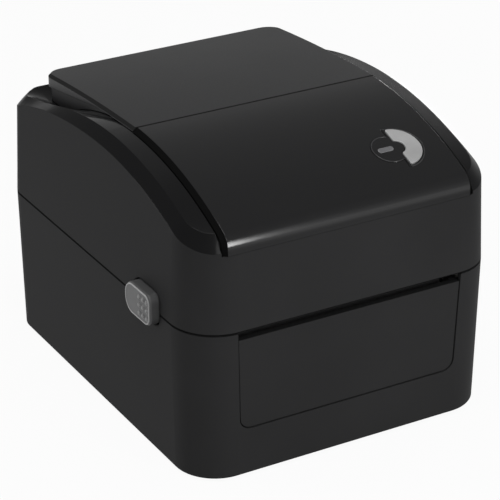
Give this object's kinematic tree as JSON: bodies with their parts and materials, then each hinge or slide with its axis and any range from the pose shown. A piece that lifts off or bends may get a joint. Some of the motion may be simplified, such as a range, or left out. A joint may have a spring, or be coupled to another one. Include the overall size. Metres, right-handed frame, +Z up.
{
  "type": "thermal label printer",
  "caption": "Desktop thermal label printer: rounded base with a roll bay under a hinged arched cover, front label slot, side release buttons and a round feed key.",
  "frame": {"origin": "on the floor, under the middle of the casing", "axes": "+Z up, the front with the label slot faces -Y, +X to the right seen from the front"},
  "size_m": [0.189, 0.213, 0.1574],
  "materials": {
    "casing_black": "fine moulded texture",
    "gloss_black": "gloss",
    "satin_black": "satin",
    "button_grey": "satin",
    "key_silver": "silver paint",
    "light_lens": "clear lens",
    "tray_grey": "matte",
    "guide_grey": "matte",
    "black_rubber": "matte",
    "gear_white": "natural",
    "bare_steel": "brushed",
    "plated_steel": "plated",
    "sink_aluminium": "extruded",
    "head_ceramic": "glazed",
    "board_green": "solder mask",
    "bush_black": "matte"
  },
  "bodies": {
    "base": {"base_casing": "casing_black", "front_panel": "casing_black", "rubber_feet": "black_rubber", "case_screws": "plated_steel", "media_tray": "tray_grey", "gap_sensor": "bush_black", "gear_plate": "plated_steel", "idler_stud": "bare_steel", "stepper_motor": "plated_steel", "platen_bearings": "bush_black", "rack_carrier": "tray_grey", "left_button_spring": "bare_steel", "right_button_spring": "bare_steel", "hinge_brackets": "tray_grey", "hinge_pins": "bare_steel", "main_board": "board_green", "usb_socket": "plated_steel", "dc_socket": "bush_black", "switch_housing": "bush_black"},
    "cover": {"cover_shell": "casing_black", "top_panel": "gloss_black", "rear_plate": "satin_black", "cover_frame": "tray_grey", "cover_screws": "plated_steel", "latch_catches": "plated_steel", "key_bezel": "gloss_black", "status_light": "light_lens", "key_board": "board_green", "head_pins": "bare_steel", "head_springs": "bare_steel", "tear_bar": "bare_steel"},
    "left_release": {"left_release_button": "button_grey", "left_latch": "button_grey"},
    "right_release": {"right_release_button": "button_grey", "right_latch": "button_grey"},
    "key": {"feed_key": "key_silver"},
    "head": {"print_head": "head_ceramic", "head_heatsink": "sink_aluminium", "head_bracket": "plated_steel"},
    "platen": {"platen_shaft": "bare_steel", "platen_rubber": "black_rubber", "platen_gear": "gear_white"},
    "idler": {"idler_gear": "gear_white"},
    "motor_rotor": {"motor_shaft": "bare_steel", "motor_pinion": "gear_white"},
    "left_slider": {"left_guide": "guide_grey", "left_rack": "guide_grey"},
    "right_slider": {"right_guide": "guide_grey", "right_rack": "guide_grey"},
    "rack_pinion": {"guide_pinion": "gear_white"},
    "left_hub": {"left_core_hub": "guide_grey"},
    "right_hub": {"right_core_hub": "guide_grey"},
    "rocker": {"switch_rocker": "bush_black"}
  },
  "joints": [
    {"name": "cover_hinge", "type": "hinge", "parent": "base", "child": "cover", "pos_m": [0, 0.098, 0.0925], "axis": [-1, 0, 0], "range_deg": [0, 90]},
    {"name": "left_button_push", "type": "slide", "parent": "base", "child": "left_release", "axis": [1, 0, 0], "range_m": [0, 0.003], "stiffness_N_per_m": 800, "springref_m": -0.002, "deforming": ["left_button_spring"]},
    {"name": "right_button_push", "type": "slide", "parent": "base", "child": "right_release", "axis": [-1, 0, 0], "range_m": [0, 0.003], "stiffness_N_per_m": 800, "springref_m": -0.002, "deforming": ["right_button_spring"]},
    {"name": "feed_key_press", "type": "slide", "parent": "cover", "child": "key", "axis": [0, 0.333, -0.9429], "range_m": [0, 0.0008], "stiffness_N_per_m": 1200, "springref_m": -0.0005},
    {"name": "head_float", "type": "slide", "parent": "cover", "child": "head", "axis": [0, 0, 1], "range_m": [0, 0.0012], "stiffness_N_per_m": 3000, "springref_m": -0.003, "deforming": ["head_springs"]},
    {"name": "platen_spin", "type": "hinge", "parent": "base", "child": "platen", "pos_m": [0, -0.089, 0.073], "axis": [1, 0, 0], "continuous": true},
    {"name": "idler_spin", "type": "hinge", "parent": "base", "child": "idler", "pos_m": [0, -0.081, 0.05117], "axis": [1, 0, 0], "continuous": true},
    {"name": "motor_spin", "type": "hinge", "parent": "base", "child": "motor_rotor", "pos_m": [0, -0.068, 0.03923], "axis": [1, 0, 0], "continuous": true},
    {"name": "left_guide_slide", "type": "slide", "parent": "base", "child": "left_slider", "axis": [1, 0, 0], "range_m": [0, 0.04]},
    {"name": "right_guide_slide", "type": "slide", "parent": "base", "child": "right_slider", "axis": [-1, 0, 0], "range_m": [0, 0.04]},
    {"name": "guide_pinion_spin", "type": "hinge", "parent": "base", "child": "rack_pinion", "pos_m": [0, 0.022, 0.0882], "axis": [0, 0, 1], "range_deg": [0, 286.5]},
    {"name": "left_hub_spin", "type": "hinge", "parent": "left_slider", "child": "left_hub", "pos_m": [0, 0.022, 0.0882], "axis": [1, 0, 0], "continuous": true},
    {"name": "right_hub_spin", "type": "hinge", "parent": "right_slider", "child": "right_hub", "pos_m": [0, 0.022, 0.0882], "axis": [1, 0, 0], "continuous": true},
    {"name": "rocker_tilt", "type": "hinge", "parent": "base", "child": "rocker", "pos_m": [-0.052, 0.0986, 0.022], "axis": [0, 0, 1], "range_deg": [0, 16]}
  ],
  "couplings": [
    {"joint": "idler_spin", "follows": "platen_spin", "ratio": -0.8125},
    {"joint": "motor_spin", "follows": "platen_spin", "ratio": 2.1667},
    {"joint": "right_guide_slide", "follows": "left_guide_slide", "ratio": 1},
    {"joint": "guide_pinion_spin", "follows": "left_guide_slide", "rad_per_m": 125}
  ]
}
